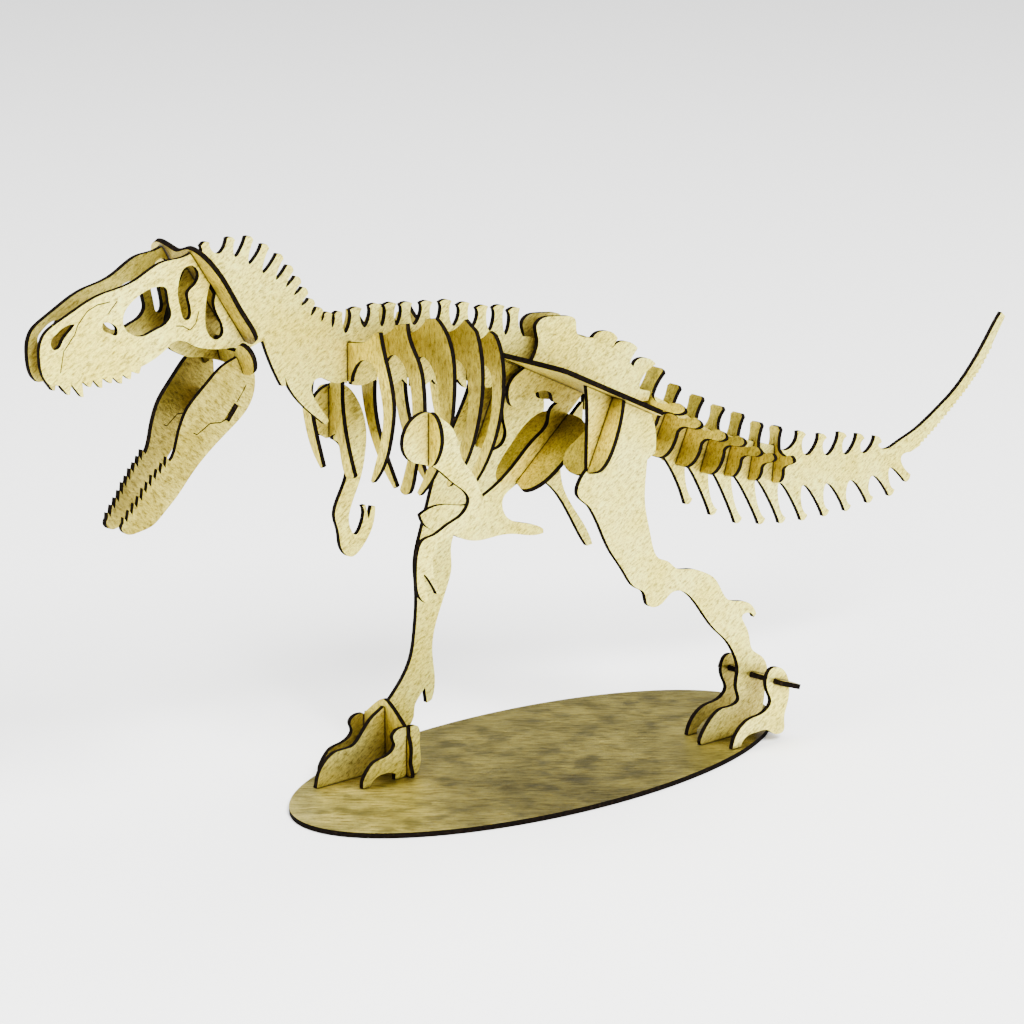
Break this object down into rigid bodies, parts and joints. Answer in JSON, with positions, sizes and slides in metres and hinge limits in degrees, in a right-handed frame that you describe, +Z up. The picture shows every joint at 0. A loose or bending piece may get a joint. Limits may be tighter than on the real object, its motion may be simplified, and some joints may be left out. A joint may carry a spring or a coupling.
{
  "type": "wooden dinosaur skeleton puzzle",
  "caption": "Free-standing flat-pack wooden dinosaur skeleton of slotted sheet plates that push together, standing on an oval base.",
  "frame": {"origin": "centre of the underside of the oval base", "axes": "+Z up, the animal looks along -X, its left side is -Y; the base's long axis lies along X"},
  "size_m": [0.4922, 0.11, 0.227],
  "materials": {
    "gold_faced_wood": "thin sheet wood, gold foil faces, scorched dark cut edges"
  },
  "bodies": {
    "stand": {"base": "gold_faced_wood"},
    "skeleton": {"neck_and_back_plate": "gold_faced_wood", "tail_plate": "gold_faced_wood", "pelvis_plate": "gold_faced_wood", "ilium_left": "gold_faced_wood", "ilium_right": "gold_faced_wood", "hip_cross_left": "gold_faced_wood", "hip_cross_right": "gold_faced_wood", "pubis_and_ischium_plate": "gold_faced_wood", "pubis_cross_plate": "gold_faced_wood", "left_leg": "gold_faced_wood", "right_leg": "gold_faced_wood", "left_inner_toe": "gold_faced_wood", "left_outer_toe": "gold_faced_wood", "left_foot_bar": "gold_faced_wood", "right_inner_toe": "gold_faced_wood", "right_outer_toe": "gold_faced_wood", "right_foot_cross_plate": "gold_faced_wood"},
    "vertebra_1": {"tail_vertebra_1": "gold_faced_wood"},
    "vertebra_2": {"tail_vertebra_2": "gold_faced_wood"},
    "vertebra_3": {"tail_vertebra_3": "gold_faced_wood"},
    "vertebra_4": {"tail_vertebra_4": "gold_faced_wood"},
    "vertebra_5": {"tail_vertebra_5": "gold_faced_wood"},
    "vertebra_6": {"tail_vertebra_6": "gold_faced_wood"},
    "vertebra_7": {"tail_vertebra_7": "gold_faced_wood"},
    "rib_1": {"rib_plate_1": "gold_faced_wood"},
    "rib_2": {"rib_plate_2": "gold_faced_wood"},
    "rib_3": {"rib_plate_3": "gold_faced_wood"},
    "rib_4": {"rib_plate_4": "gold_faced_wood"},
    "rib_5": {"rib_plate_5": "gold_faced_wood"},
    "left_arm_plate": {"left_arm": "gold_faced_wood"},
    "right_arm_plate": {"right_arm": "gold_faced_wood"},
    "skull": {"skull_left": "gold_faced_wood", "skull_right": "gold_faced_wood", "skull_rear_plate": "gold_faced_wood"},
    "lower_jaw": {"lower_jaw_left": "gold_faced_wood", "lower_jaw_right": "gold_faced_wood", "jaw_hinge_plate": "gold_faced_wood", "jaw_brace_plate": "gold_faced_wood"}
  },
  "joints": [
    {"name": "skeleton_lift_off_base", "type": "slide", "parent": "stand", "child": "skeleton", "axis": [0, 0, 1], "range_m": [0, 0.008]},
    {"name": "tail_vertebra_1_pull_off", "type": "slide", "parent": "skeleton", "child": "vertebra_1", "axis": [0.5878, 0, 0.809], "range_m": [0, 0.022]},
    {"name": "tail_vertebra_2_pull_off", "type": "slide", "parent": "skeleton", "child": "vertebra_2", "axis": [0.4695, 0, 0.8829], "range_m": [0, 0.022]},
    {"name": "tail_vertebra_3_pull_off", "type": "slide", "parent": "skeleton", "child": "vertebra_3", "axis": [0.4384, 0, 0.8988], "range_m": [0, 0.022]},
    {"name": "tail_vertebra_4_pull_off", "type": "slide", "parent": "skeleton", "child": "vertebra_4", "axis": [0.3827, 0, 0.9239], "range_m": [0, 0.022]},
    {"name": "tail_vertebra_5_pull_off", "type": "slide", "parent": "skeleton", "child": "vertebra_5", "axis": [0.3173, 0, 0.9483], "range_m": [0, 0.022]},
    {"name": "tail_vertebra_6_pull_off", "type": "slide", "parent": "skeleton", "child": "vertebra_6", "axis": [0.225, 0, 0.9744], "range_m": [0, 0.022]},
    {"name": "tail_vertebra_7_pull_off", "type": "slide", "parent": "skeleton", "child": "vertebra_7", "axis": [0.0958, 0, 0.9954], "range_m": [0, 0.022]},
    {"name": "rib_1_pull_down", "type": "slide", "parent": "skeleton", "child": "rib_1", "axis": [0, 0, -1], "range_m": [0, 0.02]},
    {"name": "rib_2_pull_down", "type": "slide", "parent": "skeleton", "child": "rib_2", "axis": [0, 0, -1], "range_m": [0, 0.022]},
    {"name": "rib_3_pull_down", "type": "slide", "parent": "skeleton", "child": "rib_3", "axis": [0, 0, -1], "range_m": [0, 0.024]},
    {"name": "rib_4_pull_down", "type": "slide", "parent": "skeleton", "child": "rib_4", "axis": [0, 0, -1], "range_m": [0, 0.024]},
    {"name": "rib_5_pull_down", "type": "slide", "parent": "skeleton", "child": "rib_5", "axis": [0, 0, -1], "range_m": [0, 0.024]},
    {"name": "left_arm_lift_off", "type": "slide", "parent": "rib_2", "child": "left_arm_plate", "axis": [0, 0, 1], "range_m": [0, 0.022]},
    {"name": "right_arm_lift_off", "type": "slide", "parent": "rib_2", "child": "right_arm_plate", "axis": [0, 0, 1], "range_m": [0, 0.022]},
    {"name": "skull_lift_off", "type": "slide", "parent": "skeleton", "child": "skull", "axis": [-0.5446, 0, 0.8387], "range_m": [0, 0.04]},
    {"name": "lower_jaw_pull_down", "type": "slide", "parent": "skeleton", "child": "lower_jaw", "axis": [0.342, 0, -0.9397], "range_m": [0, 0.016]}
  ]
}
